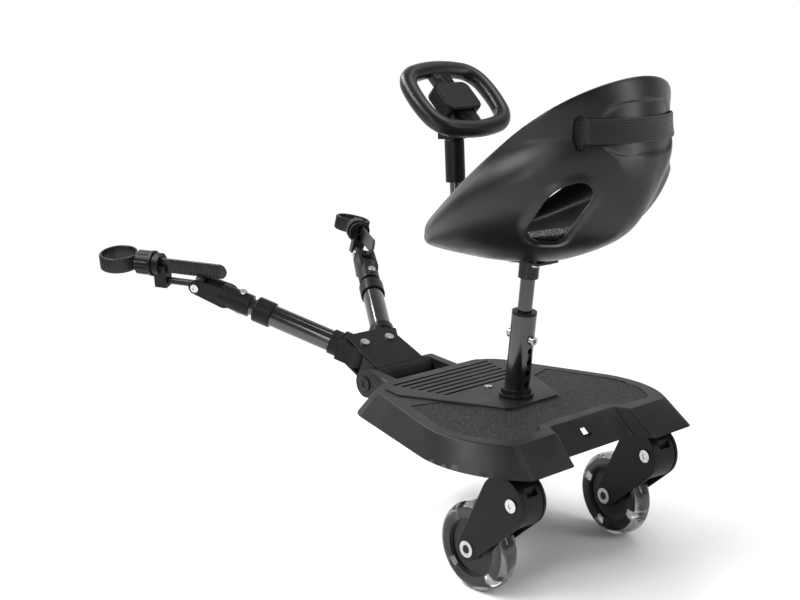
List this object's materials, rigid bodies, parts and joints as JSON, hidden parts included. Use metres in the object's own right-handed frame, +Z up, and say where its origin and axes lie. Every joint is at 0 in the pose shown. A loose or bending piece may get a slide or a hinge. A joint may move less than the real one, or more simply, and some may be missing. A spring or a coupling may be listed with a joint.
{
  "type": "ride-on board for a pushchair",
  "caption": "Wheeled board that straps behind a pushchair for a second child, with swivel casters, a bucket seat and steering wheel on a post, and a folding hitch with telescopic arms.",
  "frame": {"origin": "on the floor under the middle of the board's box", "axes": "+X forward towards the pushchair, +Y to the rider's left, +Z up"},
  "size_m": [0.735, 0.4528, 0.5575],
  "materials": {
    "deck_plastic": "satin, fine grain",
    "grip_rubber": "matt with speckles",
    "steel": "bright",
    "dark_steel": "blackened",
    "black_tube": "semi-gloss powder coat",
    "grey_tube": "semi-gloss",
    "black_plastic": "satin",
    "seat_plastic": "fine grain",
    "seat_speckle": "speckled",
    "belt_web": "woven",
    "rim_rubber": "soft touch",
    "strap_rubber": "flexible, ribbed",
    "wheel_core": "satin",
    "clear_tyre": "clear cast"
  },
  "bodies": {
    "board": {"deck": "deck_plastic", "grip_pad": "grip_rubber", "platform_screw": "steel", "hinge_pin": "dark_steel", "post_flange": "black_plastic", "lower_post_tube": "black_tube", "post_bushing": "black_plastic", "height_bolt": "steel"},
    "seat": {"upper_post_tube": "grey_tube", "seat_bracket": "black_tube", "seat_screws": "steel", "seat_shell": "seat_plastic", "seat_pad": "seat_speckle", "seat_belt": "belt_web", "column_foot": "black_plastic", "column_post": "grey_tube", "column_sleeve": "black_plastic", "column_head": "black_plastic"},
    "steering": {"steering_wheel": "rim_rubber", "hub_back": "black_plastic", "hub_cover": "black_plastic", "wheel_bolt": "dark_steel"},
    "hitch": {"bracket_base": "deck_plastic", "bracket_cover": "deck_plastic", "arm_pivot_screws": "dark_steel"},
    "left_arm": {"left_arm_socket": "black_plastic", "left_arm_tube": "black_tube", "left_arm_collar": "black_plastic"},
    "left_extension": {"left_inner_tube": "grey_tube", "left_fork": "black_plastic", "left_fork_screws": "steel"},
    "left_clip": {"left_link": "black_tube", "left_strap_holder": "black_plastic", "left_strap": "strap_rubber"},
    "left_lock": {"left_lock_ring": "black_plastic"},
    "left_caster": {"left_caster_stem": "steel", "left_caster_housing": "black_plastic", "left_fork_plates": "black_plastic", "left_caster_bolts": "dark_steel"},
    "left_wheel": {"left_wheel_core": "wheel_core", "left_tyre": "clear_tyre", "left_wheel_bearings": "steel"},
    "right_arm": {"right_arm_socket": "black_plastic", "right_arm_tube": "black_tube", "right_arm_collar": "black_plastic"},
    "right_extension": {"right_inner_tube": "grey_tube", "right_fork": "black_plastic", "right_fork_screws": "steel"},
    "right_clip": {"right_link": "black_tube", "right_strap_holder": "black_plastic", "right_strap": "strap_rubber"},
    "right_lock": {"right_lock_ring": "black_plastic"},
    "right_caster": {"right_caster_stem": "steel", "right_caster_housing": "black_plastic", "right_fork_plates": "black_plastic", "right_caster_bolts": "dark_steel"},
    "right_wheel": {"right_wheel_core": "wheel_core", "right_tyre": "clear_tyre", "right_wheel_bearings": "steel"}
  },
  "joints": [
    {"name": "hitch_fold", "type": "hinge", "parent": "board", "child": "hitch", "pos_m": [0.0113, 0, 0.164], "axis": [0, 1, 0], "range_deg": [-60, 20]},
    {"name": "seat_height", "type": "slide", "parent": "board", "child": "seat", "axis": [-0.1045, 0, 0.9945], "range_m": [-0.028, 0]},
    {"name": "steering_turn", "type": "hinge", "parent": "seat", "child": "steering", "pos_m": [-0.0857, 0, 0.516], "axis": [-0.6691, 0, 0.7431], "range_deg": [-60, 60]},
    {"name": "left_arm_swing", "type": "hinge", "parent": "hitch", "child": "left_arm", "pos_m": [0.06112, 0.0205, 0.18535], "axis": [-0.3939, 0, 0.9191], "range_deg": [-18, 20]},
    {"name": "left_arm_extend", "type": "slide", "parent": "left_arm", "child": "left_extension", "axis": [0.7879, 0.515, 0.3377], "range_m": [0, 0.06]},
    {"name": "left_clip_tilt", "type": "hinge", "parent": "left_extension", "child": "left_clip", "pos_m": [0.24469, 0.1405, 0.26403], "axis": [-0.4734, 0.8572, -0.2029], "range_deg": [-10, 40]},
    {"name": "left_lock_turn", "type": "hinge", "parent": "left_clip", "child": "left_lock", "pos_m": [0.29566, 0.17437, 0.28817], "axis": [0.8703, 0.4907, 0.0422], "range_deg": [0, 90]},
    {"name": "left_caster_swivel", "type": "hinge", "parent": "board", "child": "left_caster", "pos_m": [-0.2937, 0.113, 0], "axis": [0, 0, 1], "continuous": true},
    {"name": "left_wheel_spin", "type": "hinge", "parent": "left_caster", "child": "left_wheel", "pos_m": [-0.2437, 0.113, 0.05], "axis": [0, 1, 0], "continuous": true},
    {"name": "right_arm_swing", "type": "hinge", "parent": "hitch", "child": "right_arm", "pos_m": [0.06112, -0.0205, 0.18535], "axis": [0.3939, 0, -0.9191], "range_deg": [-18, 20]},
    {"name": "right_arm_extend", "type": "slide", "parent": "right_arm", "child": "right_extension", "axis": [0.7879, -0.515, 0.3377], "range_m": [0, 0.06]},
    {"name": "right_clip_tilt", "type": "hinge", "parent": "right_extension", "child": "right_clip", "pos_m": [0.24469, -0.1405, 0.26403], "axis": [0.4734, 0.8572, 0.2029], "range_deg": [-10, 40]},
    {"name": "right_lock_turn", "type": "hinge", "parent": "right_clip", "child": "right_lock", "pos_m": [0.29566, -0.17437, 0.28817], "axis": [0.8703, -0.4907, 0.0422], "range_deg": [0, 90]},
    {"name": "right_caster_swivel", "type": "hinge", "parent": "board", "child": "right_caster", "pos_m": [-0.2937, -0.113, 0], "axis": [0, 0, 1], "continuous": true},
    {"name": "right_wheel_spin", "type": "hinge", "parent": "right_caster", "child": "right_wheel", "pos_m": [-0.24405, -0.11892, 0.05], "axis": [0.1184, 0.993, 0], "continuous": true}
  ]
}
